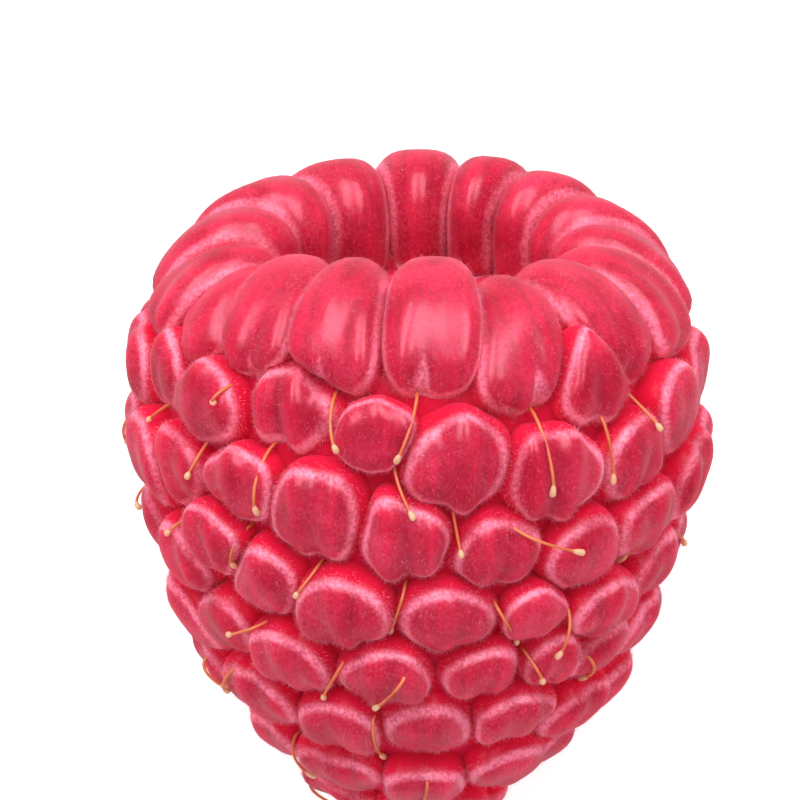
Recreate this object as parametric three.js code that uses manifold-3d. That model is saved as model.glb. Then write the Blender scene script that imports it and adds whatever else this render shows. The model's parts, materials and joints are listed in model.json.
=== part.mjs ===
// A ripe raspberry, picked off its stalk: a thimble of plump drupelets grown together round the empty
// hollow that the receptacle left behind. Millimetres, +Z up.
//
// The fruit is drawn upright in its own frame, tip down at height 0 and open end up, and is then laid
// on its side as it comes to rest: the open end points to +Y and a little up. The origin lies on the
// surface that it rests on, under the middle of the fruit.

import * as THREE from "three";
import Module from "manifold-3d";
import { mergeVertices } from "three/addons/utils/BufferGeometryUtils.js";

const wasm = await Module();
wasm.setup();

// Outer form, measured over the tops of the drupelets. Heights are above the tip.
const RADIUS = 12; // at the widest place
const WIDEST = 18.2; // height of the widest place
const ROUNDING = 1.75; // how slowly it draws in just below the widest place
const BLUNTNESS = 0.61; // how blunt the tip is: less is blunter
const RIM = 23.7; // height of the middle of the rounded rim
const NARROWING = 0.9; // the fruit draws in by this much from the widest place to the rim
const RIM_RADIUS = 8.2; // circle through the middle of the rim
const RIM_HALF = 3.1; // half the thickness of the wall at the rim
const RIM_LONG = 3.7; // the rim leans: this is its half from inside above to outside below
const RIM_SHORT = 2.65; // and this is its half the other way
const RIM_STRETCH = 1.65; // a rim drupelet is this many times longer below its middle than above
const SKEW = 0.5; // the rows sit this much lower on the +X side, and higher on the other

// Hollow, measured over the inner ends of the drupelets
const MOUTH_RADIUS = 5; // at the rim
const FOOT_RADIUS = 2.9; // low down, before the rounded end
const HOLLOW_END = 9; // height of the bottom of the hollow
const FLATNESS = 6; // how flat that bottom is
const INNER_SWELL = 0.55; // the inner ends stand this far into the hollow
const INNER_AROUND = 9; // inner ends in a row
const INNER_PITCH = 3; // from one row of them to the next
const INNER_STEPS = 3; // points across an inner end, each way

// Drupelets
const SWELL = 1.9; // from the top of a drupelet to the point that it swells from
const ROOT = 1.5; // from that point to its root, inside the flesh
const CREASE = 1.35; // the flesh between drupelets lies this far under their tops
const SQUARENESS = 4.2; // how flat neighbours press each other: 2 is an ellipsoid
const FULLNESS = 2.25; // how full the free end is: 2 is an ellipsoid
const RIM_FULLNESS = 3; // drupelets that bend over the rim are fuller bars
const NOD = 0.16; // the free ends nod towards the tip of the fruit by this slope
const PRESS = 1.12; // neighbours run this far into each other, so that they grow together
const NEAR = 7; // two drupelets further apart than this don't touch
const LEAST = 0.3; // a neighbour that would press nearer than this to the middle doesn't
const PROUD = 0.15; // tops stand up to this much higher or lower than the mean
const RUNT = 0.72; // size of a stunted drupelet
const SIZE_SPREAD = 0.08; // sizes on the far side vary by this much either way
const HEIGHT_SPREAD = 0.35; // and so do heights
const AZIMUTH_SPREAD = 0.12; // and places along the row, as a part of the gap
const RIM_SIZE = 1.25; // size of a drupelet that bends over the rim
const RIM_LIFT = 0.4; // it presses on the others from this far above the middle of the rim
const TIP_SWELL = 1.7; // the drupelet at the tip is a low one
const TIP_SIZE = 1.5; // but holds its own among those round it

// How the fruit lies: nose down by this angle, and flattened this deep where it touches
const NOSE_DOWN = 20;
const FLATTENED = 0.4;

// Rings of points round a drupelet, by their angle from its top in degrees, and points in a ring.
// The corners stand out a little, so that the flat faces between them lie at the true height.
const FREE_END = { around: 8, rings: [42, 84] };
const OVER_RIM = { around: 10, rings: [24, 50, 76, 102, 128] };
const FACETS = 1.05;

// Rows of drupelets below the rim. Each shown one has its azimuth, its height and, where it isn't
// full-grown, its size. The others of the row are spread evenly over the far side. Azimuth 0 is the
// side that ends up on top, and 90 is +X.
const ROWS = [
  { height: 20.3, others: 10, shown: [
    [-68, 21.5], [-50, 21, 1.2], [-29, 21.7, 1.4], [-9, 20.6, 0.62], [7, 19.2, 1.15],
    [27.5, 18.4], [40, 22.3, 0.95], [51.5, 18.2], [67, 19.6],
  ] },
  { height: 16.4, others: 10, shown: [
    [-76, 16.8], [-59.5, 17.4], [-39.5, 17.6, 0.9], [-22, 16.8, 1.2], [-3, 16], [16.5, 15.1, 1.1],
    [36.5, 14.4], [56, 15.2], [77, 15.9],
  ] },
  { height: 12.8, others: 10, shown: [
    [-63, 12.8], [-48.5, 14.8, 0.85], [-36, 13.4], [-18.5, 12.3, 1.15], [7.5, 12.1, 1.2],
    [26.5, 12.2, RUNT], [46, 11.5], [67, 12.4],
  ] },
  { height: 9.7, others: 9, shown: [
    [-54, 10.6], [-34.5, 9.6], [-8, 9.4], [16.5, 9.5], [36, 9.7], [52, 9.3], [73, 9.4],
  ] },
  { height: 6.7, others: 10, shown: [[-25, 6.4], [3, 6.4, 1.4], [29, 7]] },
  { height: 3.7, others: 7, shown: [[-34, 3.5], [3, 3.1], [38, 3.8]] },
  { height: 1.2, others: 4, shown: [[10, 1.2]] },
];

// Drupelets that bend over the rim into the hollow: the azimuth, and how much lower it sits
const RIM_PLACES = [
  [2, 0.3], [24, 1.1], [50, 1.1], [75, 1.2], [97, 1], [119, 0.5], [140, 0], [158, -0.3], [179, -0.4],
  [204, -0.2], [231, 0], [257, 0.5], [280, 1.2], [301, 1.4], [320, 0.7], [340, 0.4],
];

// Profile of the flesh, as heights up the outside, and angles round the rim from outside to inside
const FLESH_RIM = 22.4; // height of the middle of its own rim
const OUTSIDE_HEIGHTS = [2.4, 4.4, 7, 10, 13.4, 17, 20.4];
const RIM_ANGLES = [0, 60, 120, 180];
const FLESH_AROUND = 24;

// A repeatable draw from -1 to 1.
function draw(seed) {
  const wave = Math.sin(seed * 12.9898 + 4.1414) * 43758.5453;
  return 2 * (wave - Math.floor(wave)) - 1;
}

// Outer radius over the drupelets at a height.
function girth(height) {
  if (height > WIDEST) {
    return RADIUS - NARROWING * ((height - WIDEST) / (RIM - WIDEST)) ** 2;
  }
  const down = 1 - Math.max(height, 0) / WIDEST;
  return RADIUS * (1 - down ** ROUNDING) ** BLUNTNESS;
}

// Radius of the hollow over the inner ends at a height.
function bore(height) {
  const up = THREE.MathUtils.clamp((height - HOLLOW_END) / (RIM - HOLLOW_END), 0, 1);
  return (FOOT_RADIUS + (MOUTH_RADIUS - FOOT_RADIUS) * up) * Math.sqrt(1 - (1 - up) ** FLATNESS);
}

// The point at an azimuth in degrees, a radius and a height.
function at(azimuth, radius, height) {
  const turn = THREE.MathUtils.degToRad(azimuth);
  return new THREE.Vector3(radius * Math.sin(turn), -radius * Math.cos(turn), height);
}

// How much lower the rows sit at an azimuth.
function sag(azimuth) {
  return SKEW * Math.sin(THREE.MathUtils.degToRad(azimuth));
}

// Outward normal of the outer form.
function outwardAt(azimuth, height) {
  const step = 0.05;
  const low = Math.max(height - step, 0);
  const slope = (girth(height + step) - girth(low)) / (height + step - low);
  return at(azimuth, 1, -slope).normalize();
}

// Places of the drupelets of one row, first those shown and then the others.
function placesOf(row, rowIndex) {
  const places = row.shown.map(([azimuth, height, size = 1]) => ({ azimuth, height, size }));
  const first = row.shown[0][0];
  const last = row.shown.at(-1)[0];
  const gap = (360 + first - last) / (row.others + 1);
  for (let i = 1; i <= row.others; i++) {
    const seed = 100 * (rowIndex + 1) + i;
    const azimuth = last + gap * (i + AZIMUTH_SPREAD * draw(seed));
    const height = row.height - sag(azimuth) + HEIGHT_SPREAD * draw(seed + 50);
    places.push({ azimuth, height, size: 1 + SIZE_SPREAD * draw(seed + 25) });
  }
  return places;
}

// A drupelet on the outside. It swells along its way out from its seat, inside the flesh.
function outerDrupelet({ azimuth, height, size }, i) {
  const out = outwardAt(azimuth, height);
  const swell = SWELL * Math.sqrt(size);
  const seat = at(azimuth, girth(height), height).addScaledVector(out, PROUD * draw(i) - swell);
  const tipward = new THREE.Vector3(0, 0, -1).projectOnPlane(out).normalize();
  const nodding = out.clone().addScaledVector(tipward, NOD).normalize();
  return { size, out, nodding, seat, centre: seat, swell, fullness: FULLNESS, detail: FREE_END };
}

// A drupelet that bends over the rim. It presses on the others from a seat near the outside, but
// swells evenly round the middle of the rim.
function rimDrupelet([azimuth, drop], i) {
  const middle = RIM - drop;
  return {
    size: RIM_SIZE,
    out: new THREE.Vector3(0, 0, 1),
    seat: at(azimuth, RADIUS - NARROWING - SWELL, middle + RIM_LIFT),
    centre: at(azimuth, RIM_RADIUS + PROUD * draw(i), middle),
    overRim: true,
    fullness: RIM_FULLNESS,
    detail: OVER_RIM,
  };
}

// The drupelet at the tip, which closes the fruit.
function tipDrupelet() {
  const seat = new THREE.Vector3(0, 0, TIP_SWELL);
  const out = new THREE.Vector3(0, 0, -1);
  const end = { size: TIP_SIZE, swell: TIP_SWELL, fullness: FULLNESS, detail: FREE_END };
  return { ...end, out, nodding: out, seat, centre: seat };
}

// The planes that press on a drupelet, each part of the way to a neighbour, by their sizes.
function pressedBy(drupelet, all) {
  return all
    .filter((other) => other !== drupelet && other.seat.distanceTo(drupelet.seat) < NEAR)
    .map((other) => {
      const towards = other.seat.clone().sub(drupelet.seat);
      const share = (PRESS * drupelet.size) / (drupelet.size + other.size);
      const onPlane = drupelet.seat.clone().addScaledVector(towards, share);
      const normal = towards.normalize();
      return { normal, distance: onPlane.sub(drupelet.centre).dot(normal) };
    })
    .filter((plane) => plane.distance > LEAST);
}

// The inverse of the reach of a free end in a direction.
function freePressure(drupelet, direction) {
  const rise = direction.dot(drupelet.nodding);
  return Math.abs(rise) / (rise > 0 ? drupelet.swell : ROOT);
}

// The inverse of the reach of the leaning rim, seen in section, in a direction.
function rimPressure(drupelet, direction) {
  const outward = direction.dot(new THREE.Vector3(drupelet.centre.x, drupelet.centre.y, 0).normalize());
  const upward = direction.z > 0 ? direction.z : direction.z / RIM_STRETCH;
  const leaning = (outward - upward) * Math.SQRT1_2;
  const across = (outward + upward) * Math.SQRT1_2;
  return Math.hypot(leaning / RIM_LONG, across / RIM_SHORT);
}

// How far a drupelet reaches from its centre in a direction: the neighbours press its sides flat,
// and its free end is round.
function reachOf(drupelet, planes, direction) {
  const { fullness } = drupelet;
  const pressures = planes.map((plane) => Math.max(0, direction.dot(plane.normal) / plane.distance));
  const sides = pressures.reduce((sum, pressure) => sum + pressure ** SQUARENESS, 0);
  const end = drupelet.overRim ? rimPressure(drupelet, direction) : freePressure(drupelet, direction);
  return FACETS * (sides ** (fullness / SQUARENESS) + end ** fullness) ** (-1 / fullness);
}

// The solid of a drupelet: its top, rings of points round its way out, and its root.
function pressedSolid(drupelet, planes) {
  const { around, rings } = drupelet.detail;
  const side = new THREE.Vector3(-drupelet.centre.y, drupelet.centre.x, 0);
  if (side.length() < LEAST) side.set(1, 0, 0);
  side.normalize();
  const along = drupelet.out.clone().cross(side).normalize();
  const pointAt = (degrees, turn) => {
    const polar = THREE.MathUtils.degToRad(degrees);
    const direction = drupelet.out.clone().multiplyScalar(Math.cos(polar));
    direction.addScaledVector(side, Math.sin(polar) * Math.cos(turn));
    direction.addScaledVector(along, Math.sin(polar) * Math.sin(turn));
    return drupelet.centre.clone().addScaledVector(direction, reachOf(drupelet, planes, direction));
  };
  const points = [pointAt(0, 0)];
  rings.forEach((degrees, ring) => {
    for (let i = 0; i < around; i++) {
      points.push(pointAt(degrees, (2 * Math.PI * (i + (ring % 2) / 2)) / around));
    }
  });
  points.push(pointAt(180, 0));
  return solidOf(points.flatMap((point) => point.toArray()), ringFaces(around, rings.length));
}

// Triangles between a top, rings that are each turned half a step from the last, and a root.
function ringFaces(around, rings) {
  const faces = [];
  const end = 1 + rings * around;
  for (let i = 0; i < around; i++) {
    const next = (i + 1) % around;
    faces.push(0, 1 + i, 1 + next);
    for (let ring = 0; ring < rings - 1; ring++) {
      const upper = 1 + ring * around;
      const lower = upper + around;
      if (ring % 2 === 0) {
        faces.push(upper + i, lower + i, upper + next, upper + next, lower + i, lower + next);
      } else {
        faces.push(upper + i, lower + i, lower + next, upper + i, lower + next, upper + next);
      }
    }
    faces.push(end - around + i, end, end - around + next);
  }
  return faces;
}

// A manifold solid from flat lists of coordinates and corners.
function solidOf(coordinates, corners) {
  const vertProperties = new Float32Array(coordinates);
  const triVerts = new Uint32Array(corners);
  return new wasm.Manifold(new wasm.Mesh({ numProp: 3, vertProperties, triVerts }));
}

// A manifold solid from a closed three.js geometry.
function solidFrom(geometry) {
  const merged = mergeVertices(geometry.deleteAttribute("normal").deleteAttribute("uv"), 1e-3);
  return solidOf(merged.attributes.position.array, merged.index.array);
}

// A solid turned round the axis of the fruit, from a profile of radius and height.
function turned(profile, around) {
  const points = profile.map(([radius, height]) => new THREE.Vector2(radius, height));
  return new THREE.LatheGeometry(points, around).rotateX(Math.PI / 2);
}

// The flesh that the drupelets stand out of, before it is hollowed.
function flesh() {
  const outside = OUTSIDE_HEIGHTS.map((height) => [girth(height) - CREASE, height]);
  const overRim = RIM_ANGLES.map((degrees) => {
    const turn = THREE.MathUtils.degToRad(degrees);
    const half = RIM_HALF - CREASE;
    return [RIM_RADIUS + half * Math.cos(turn), FLESH_RIM + half * Math.sin(turn)];
  });
  return solidFrom(turned([[0, CREASE], ...outside, ...overRim, [0, FLESH_RIM]], FLESH_AROUND));
}

// The hollow, dented by the inner ends of the drupelets in staggered rows.
function hollow() {
  const step = INNER_PITCH / INNER_STEPS;
  const steps = Math.round((RIM - HOLLOW_END) / step);
  const heights = Array.from({ length: steps + 1 }, (_, i) => HOLLOW_END + (i + 0.3) * step);
  const profile = heights.map((height) => [bore(height) + INNER_SWELL, height]);
  const geometry = turned([[0, HOLLOW_END], ...profile, [0, heights.at(-1)]], INNER_AROUND * INNER_STEPS);
  const points = geometry.attributes.position;
  for (let i = 0; i < points.count; i++) {
    const radius = Math.hypot(points.getX(i), points.getY(i));
    if (radius < LEAST) continue;
    const row = (points.getZ(i) - HOLLOW_END) / INNER_PITCH;
    const round = (INNER_AROUND * Math.atan2(points.getY(i), points.getX(i))) / Math.PI / 2;
    const across = Math.sin(Math.PI * row) ** 2;
    const shifted = round + Math.floor(row) / 2;
    const dent = INNER_SWELL * Math.sqrt(across * Math.sin(Math.PI * shifted) ** 2);
    points.setX(i, points.getX(i) * (1 - dent / radius));
    points.setY(i, points.getY(i) * (1 - dent / radius));
  }
  return solidFrom(geometry);
}

// The whole fruit, upright. A closed pocket left between drupelets is filled.
function fruit() {
  const covering = [
    ...RIM_PLACES.map(rimDrupelet),
    ...ROWS.flatMap(placesOf).map(outerDrupelet),
    tipDrupelet(),
  ];
  const drupelets = covering.map((drupelet) => pressedSolid(drupelet, pressedBy(drupelet, covering)));
  const joined = wasm.Manifold.union([flesh().subtract(hollow()), ...drupelets]);
  return joined.decompose().sort((one, other) => other.volume() - one.volume())[0];
}

// A geometry from a manifold solid.
function geometryOf(solid) {
  const mesh = solid.getMesh();
  const geometry = new THREE.BufferGeometry();
  geometry.setAttribute("position", new THREE.BufferAttribute(new Float32Array(mesh.vertProperties), 3));
  geometry.setIndex(new THREE.BufferAttribute(new Uint32Array(mesh.triVerts), 1));
  return geometry;
}

// The fruit laid on its side, pressed flat where it touches the surface at height 0.
function laid(upright) {
  const geometry = geometryOf(upright).rotateX(THREE.MathUtils.degToRad(NOSE_DOWN - 90));
  geometry.computeBoundingBox();
  const { min, max } = geometry.boundingBox;
  geometry.translate(-(min.x + max.x) / 2, -(min.y + max.y) / 2, -min.z - FLATTENED);
  const size = 4 * RADIUS;
  const surface = new THREE.BoxGeometry(size, size, size).translate(0, 0, -size / 2);
  return solidOf(geometry.attributes.position.array, geometry.index.array).subtract(solidFrom(surface));
}

const skin = new THREE.MeshStandardMaterial({ color: 0xd21238, roughness: 0.45, metalness: 0 });
const berry = new THREE.Mesh(geometryOf(laid(fruit())), skin);
berry.name = "berry";

const raspberry = new THREE.Group();
raspberry.add(berry);
export default raspberry;
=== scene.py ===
# %% [markdown]
# A ripe raspberry, picked off its stalk and laid on a pale table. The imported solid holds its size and
# where it lies. This lesson gives it what the eye looks for: plump drupelets pressed against each
# other, soft bright red skin with a velvety bloom, and the dry threads, or styles, that each drupelet
# keeps from the flower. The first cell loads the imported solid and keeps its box.

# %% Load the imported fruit
import json
import math

import bpy
import numpy as np
from mathutils import Matrix, Vector
from mathutils.bvhtree import BVHTree

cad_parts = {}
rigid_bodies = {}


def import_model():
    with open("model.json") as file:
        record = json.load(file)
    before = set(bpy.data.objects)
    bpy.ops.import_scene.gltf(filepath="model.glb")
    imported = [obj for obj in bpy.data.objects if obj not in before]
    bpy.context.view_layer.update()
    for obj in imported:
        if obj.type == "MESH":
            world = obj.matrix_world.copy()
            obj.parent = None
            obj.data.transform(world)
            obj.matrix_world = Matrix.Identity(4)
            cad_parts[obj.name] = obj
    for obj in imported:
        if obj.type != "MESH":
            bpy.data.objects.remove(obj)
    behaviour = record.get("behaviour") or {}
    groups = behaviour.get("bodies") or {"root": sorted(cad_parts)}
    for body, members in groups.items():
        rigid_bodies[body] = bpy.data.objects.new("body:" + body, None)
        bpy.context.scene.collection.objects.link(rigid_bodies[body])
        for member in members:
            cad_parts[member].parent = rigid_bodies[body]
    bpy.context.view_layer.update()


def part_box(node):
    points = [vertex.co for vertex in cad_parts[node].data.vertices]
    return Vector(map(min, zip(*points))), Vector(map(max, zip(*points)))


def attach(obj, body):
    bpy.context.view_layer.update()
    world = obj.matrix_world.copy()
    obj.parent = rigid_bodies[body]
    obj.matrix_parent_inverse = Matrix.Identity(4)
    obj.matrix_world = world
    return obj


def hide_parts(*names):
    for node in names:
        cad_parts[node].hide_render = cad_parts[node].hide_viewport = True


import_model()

MM = 0.001
fruit_low, fruit_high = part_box("berry")
print("the fruit's box in mm:", [round(side / MM, 2) for side in fruit_high - fruit_low])

# %% [markdown]
# The fruit is worked out upright in millimetres, tip down and open end up, and is laid on its side at
# the end. Its outer form is one smooth curve: the radius over the tops of the drupelets at each
# height above the tip. The hollow that the receptacle left is a second curve. An azimuth of 0 is the
# side that ends on top, and 90 is the side that ends to the right.

# %% The two curves of the fruit
RADIUS = 12  # at the widest place
WIDEST = 18.2  # height of the widest place
ROUNDING = 1.75  # how slowly it draws in just below the widest place
BLUNTNESS = 0.61  # how blunt the tip is: less is blunter
RIM = 23.7  # height of the middle of the rounded rim
NARROWING = 0.9
RIM_RADIUS = 8.2
RIM_HALF = 3.1
RIM_LONG = 3.7  # the rim leans: it is thick from inside above to outside below
RIM_SHORT = 2.65
SKEW = 0.5
MOUTH_RADIUS = 5
FOOT_RADIUS = 2.9
HOLLOW_END = 9
FLATNESS = 6  # how flat the bottom of the hollow is


def girth(height):
    """Outer radius over the drupelets."""
    if height > WIDEST:
        return RADIUS - NARROWING * ((height - WIDEST) / (RIM - WIDEST)) ** 2
    down = 1 - max(height, 0) / WIDEST
    return RADIUS * (1 - down**ROUNDING) ** BLUNTNESS


def bore(height):
    """Radius of the hollow over the inner ends of the drupelets."""
    up = min(max((height - HOLLOW_END) / (RIM - HOLLOW_END), 0), 1)
    return (FOOT_RADIUS + (MOUTH_RADIUS - FOOT_RADIUS) * up) * math.sqrt(1 - (1 - up) ** FLATNESS)


def at(azimuth, radius, height):
    turn = math.radians(azimuth)
    return np.array([radius * math.sin(turn), -radius * math.cos(turn), height])


def unit(vector):
    return vector / np.linalg.norm(vector)


def outward_at(azimuth, height):
    step = 0.05
    low = max(height - step, 0)
    slope = (girth(height + step) - girth(low)) / (height + step - low)
    return unit(at(azimuth, 1, -slope))


def sag(azimuth):
    """How much lower the rows sit at an azimuth."""
    return SKEW * math.sin(math.radians(azimuth))


DRAW_STEP, DRAW_START, DRAW_STRETCH = 12.9898, 4.1414, 43758.5453


def draw(seed):
    """A repeatable draw from -1 to 1."""
    wave = math.sin(seed * DRAW_STEP + DRAW_START) * DRAW_STRETCH
    return 2 * (wave - math.floor(wave)) - 1


print("widest", 2 * RADIUS, "mm, length", round(RIM + RIM_HALF, 1), "mm")

# %% [markdown]
# Where the drupelets sit. They grow in rows that wind round the fruit, staggered like bricks, and now
# and then a stunted one is wedged in. The side that is seen has its places listed one by one, and a
# rule with a seeded draw spreads the others evenly over the far side.

# %% Places of the drupelets
# A row has its height, how many more stand on the far side, and those shown: azimuth, height and size.
RUNT = 0.72
ROWS = [
    (20.3, 10, [(-68, 21.5), (-50, 21, 1.2), (-29, 21.7, 1.4), (-9, 20.6, 0.62), (7, 19.2, 1.15),
                (27.5, 18.4), (40, 22.3, 0.95), (51.5, 18.2), (67, 19.6)]),
    (16.4, 10, [(-76, 16.8), (-59.5, 17.4), (-39.5, 17.6, 0.9), (-22, 16.8, 1.2), (-3, 16),
                (16.5, 15.1, 1.1), (36.5, 14.4), (56, 15.2), (77, 15.9)]),
    (12.8, 10, [(-63, 12.8), (-48.5, 14.8, 0.85), (-36, 13.4), (-18.5, 12.3, 1.15), (7.5, 12.1, 1.2),
                (26.5, 12.2, RUNT), (46, 11.5), (67, 12.4)]),
    (9.7, 9, [(-54, 10.6), (-34.5, 9.6), (-8, 9.4), (16.5, 9.5), (36, 9.7), (52, 9.3), (73, 9.4)]),
    (6.7, 10, [(-25, 6.4), (3, 6.4, 1.4), (29, 7)]),
    (3.7, 7, [(-34, 3.5), (3, 3.1), (38, 3.8)]),
    (1.2, 4, [(10, 1.2)]),
]
RIM_PLACES = [(2, 0.3), (24, 1.1), (50, 1.1), (75, 1.2), (97, 1), (119, 0.5), (140, 0), (158, -0.3),
              (179, -0.4), (204, -0.2), (231, 0), (257, 0.5), (280, 1.2), (301, 1.4), (320, 0.7),
              (340, 0.4)]  # azimuth, and how much lower than the others it sits
print("drupelets placed one by one:", sum(len(row[2]) for row in ROWS) + len(RIM_PLACES))

# %% Spread the others over the far side
SIZE_SPREAD = 0.08
HEIGHT_SPREAD = 0.35
AZIMUTH_SPREAD = 0.12
ROW_SEEDS, HEIGHT_SEED, SIZE_SEED = 100, 50, 25


def places_of(row_index, row):
    """Azimuth, height and size of each drupelet of a row, first those shown and then the others."""
    row_height, others, shown = row
    places = [(place + (1,))[:3] for place in shown]
    last = shown[-1][0]
    gap = (360 + shown[0][0] - last) / (others + 1)
    for i in range(1, others + 1):
        seed = ROW_SEEDS * (row_index + 1) + i
        azimuth = last + gap * (i + AZIMUTH_SPREAD * draw(seed))
        height = row_height - sag(azimuth) + HEIGHT_SPREAD * draw(seed + HEIGHT_SEED)
        places.append((azimuth, height, 1 + SIZE_SPREAD * draw(seed + SIZE_SEED)))
    return places


outer_places = [place for row_index, row in enumerate(ROWS) for place in places_of(row_index, row)]
print("drupelets below the rim:", len(outer_places))

# %% [markdown]
# A drupelet's centre isn't on the outline but under it, by as much as it swells. On the rim it is a
# bar that bends over into the mouth, so it also gets a seat further out, from which it shares the
# room with its neighbours. One more closes the tip. Each is kept as a small dictionary.

# %% Seat the drupelets
SWELL = 1.9
PROUD = 0.15
RIM_SIZE = 1.25
RIM_LIFT = 0.4
TIP_SWELL = 1.7
TIP_SIZE = 1.5


def outer_drupelet(place, i):
    azimuth, height, size = place
    out = outward_at(azimuth, height)
    swell = SWELL * math.sqrt(size)
    seat = at(azimuth, girth(height), height) + out * (PROUD * draw(i) - swell)
    return dict(azimuth=azimuth, height=height, size=size, out=out, seat=seat, centre=seat, swell=swell)


def rim_drupelet(place, i):
    azimuth, drop = place
    middle = RIM - drop
    seat = at(azimuth, RADIUS - NARROWING - SWELL, middle + RIM_LIFT)
    centre = at(azimuth, RIM_RADIUS + PROUD * draw(i), middle)
    return dict(azimuth=azimuth, height=middle, size=RIM_SIZE, out=np.array([0, 0, 1.0]), seat=seat,
                centre=centre, swell=RIM_HALF, round_rim=True)


def tip_drupelet():
    seat = np.array([0, 0, TIP_SWELL])
    return dict(azimuth=0, height=0, size=TIP_SIZE, out=np.array([0, 0, -1.0]), seat=seat, centre=seat,
                swell=TIP_SWELL)


drupelets = [rim_drupelet(place, i) for i, place in enumerate(RIM_PLACES)]
drupelets += [outer_drupelet(place, i) for i, place in enumerate(outer_places)]
drupelets.append(tip_drupelet())
print("drupelets:", len(drupelets))

# %% [markdown]
# A drupelet is a juicy bead round a seed. It is modelled once, as a cube that is subdivided and
# pulled to a sphere, because a sphere made this way has no pinched poles. Copies of it are pressed
# into shape in the next step.

# %% Model one drupelet
CUTS = 14


def deselect():
    if bpy.context.object and bpy.context.object.mode != "OBJECT":
        bpy.ops.object.mode_set(mode="OBJECT")
    bpy.ops.object.select_all(action="DESELECT")


def edit_all():
    bpy.ops.object.mode_set(mode="EDIT")
    bpy.ops.mesh.select_all(action="SELECT")


deselect()
bpy.ops.mesh.primitive_cube_add(size=2, location=(0, 0, 0))
pattern = bpy.context.object
pattern.name = "drupelet_pattern"
edit_all()
bpy.ops.mesh.subdivide(number_cuts=CUTS)
bpy.ops.transform.tosphere(value=1)
bpy.ops.object.mode_set(mode="OBJECT")
ball = np.array([vertex.co for vertex in pattern.data.vertices])
ball /= np.linalg.norm(ball, axis=1)[:, None]
print("one drupelet has", len(pattern.data.polygons), "faces")

# %% [markdown]
# Real drupelets swell until they meet, so each is a little cushion: flat where a neighbour presses,
# round where it is free. A simulation could inflate them, but a formula does it for every vertex at
# once and gives the same form each time. Its reach from the centre is short towards a near neighbour
# and long towards a gap, and the two limits blend like the sides and top of a superellipse. So first
# comes which neighbours press on a drupelet, and how near they are.

# %% Find the planes where the neighbours press
PRESS = 1.12  # above 1, neighbours overlap a little and so stay joined
NEAR = 7  # only drupelets nearer than this press
LEAST = 0.3


def pressed_by(drupelet):
    """Normals and distances of the planes where the neighbours press."""
    planes = []
    for other in drupelets:
        towards = other["seat"] - drupelet["seat"]
        apart = np.linalg.norm(towards)
        if other is drupelet or apart >= NEAR:
            continue
        share = PRESS * drupelet["size"] / (drupelet["size"] + other["size"])
        normal = towards / apart
        distance = (drupelet["seat"] + towards * share - drupelet["centre"]) @ normal
        if distance > LEAST:
            planes.append((normal, distance))
    return np.array([plane[0] for plane in planes]), np.array([plane[1] for plane in planes])


def axes_of(drupelet):
    """Across, towards the tip, and out."""
    out = drupelet["out"]
    across = np.array([-drupelet["centre"][1], drupelet["centre"][0], 0])
    across = unit(across) if np.linalg.norm(across) > LEAST else np.array([1.0, 0, 0])
    tipward = np.cross(across, out)
    return across, (tipward if tipward[2] < 0 or drupelet.get("round_rim") else -tipward), out


# %% The form of the plain cushion
SQUARENESS = 4.2
FULLNESS = 2.25
RIM_FULLNESS = 3  # those on the rim are fuller bars
RIM_STRETCH = 1.65  # a rim drupelet is this many times longer below its middle than above
ROOT = 1.5  # how deep a drupelet goes below its centre
NOD = 0.16  # the free ends nod this much towards the tip
PAST_SIDE = 0.4  # a drupelet still counts as free this far round its side
RIM_DOWN = 0.4  # a rim drupelet counts as its lower half from this far above its middle


def cushion(drupelet, directions):
    """Reach in some directions, the neighbours' share in it, and how far down and outwards it faces."""
    normals, distances = pressed_by(drupelet)
    sides = (np.maximum(0, directions @ normals.T / distances) ** SQUARENESS).sum(1)
    tipward, out = axes_of(drupelet)[1:]
    if drupelet.get("round_rim"):
        sideways = directions @ unit(drupelet["centre"] * [1, 1, 0])
        upwards = directions[:, 2] / np.where(directions[:, 2] > 0, 1, RIM_STRETCH)
        leaning = (sideways - upwards) * math.sqrt(0.5) / RIM_LONG
        end = np.hypot(leaning, (sideways + upwards) * math.sqrt(0.5) / RIM_SHORT)
        down, free, fullness = RIM_DOWN - directions[:, 2], np.maximum(0, sideways), RIM_FULLNESS
    else:
        rise = directions @ unit(out + NOD * tipward)
        end = np.abs(rise) / np.where(rise > 0, drupelet["swell"], ROOT)
        down, free, fullness = directions @ tipward, np.maximum(0, rise + PAST_SIDE), FULLNESS
    sides, end = sides ** (fullness / SQUARENESS), end**fullness
    return (sides + end) ** (-1 / fullness), sides / (sides + end), down, free


sample_reach = cushion(drupelets[0], np.array([[0, 0, 1.0]]))[0][0]
print("the first drupelet on the rim reaches", round(float(sample_reach), 2), "mm up from its centre")

# %% [markdown]
# Each drupelet also has a soft furrow from its crown to its lower edge, which ends in a small notch,
# and one or two faint ridges beside it. They split its highlight into two or three parts, so they
# are modelled in the mesh and not left to the material.

# %% Furrow and ridges
FURROW = 0.085
FURROW_WIDTH = 0.17
FURROW_ASIDE = 0.12  # a furrow may lie this far from the middle
FURROW_UP = 0.45  # and goes this far up past the crown
FURROW_ROUND = 1.4  # how soon it is full on the free side
FURROW_SPREAD = 0.4
RIM_FURROW = 1.6
IN_FURROW = 0.3  # a furrow is coloured as if the neighbours pressed this hard
RIDGE = 0.042
RIDGE_SPREAD = 0.6
RIDGE_RATE, RATE_SPREAD, RIDGE_SHIFT = 8, 2, 3
ASIDE_SEED, DEPTH_SEED, RATE_SEED, SHIFT_SEED, RIDGE_SEED = 300, 400, 500, 600, 700


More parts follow.
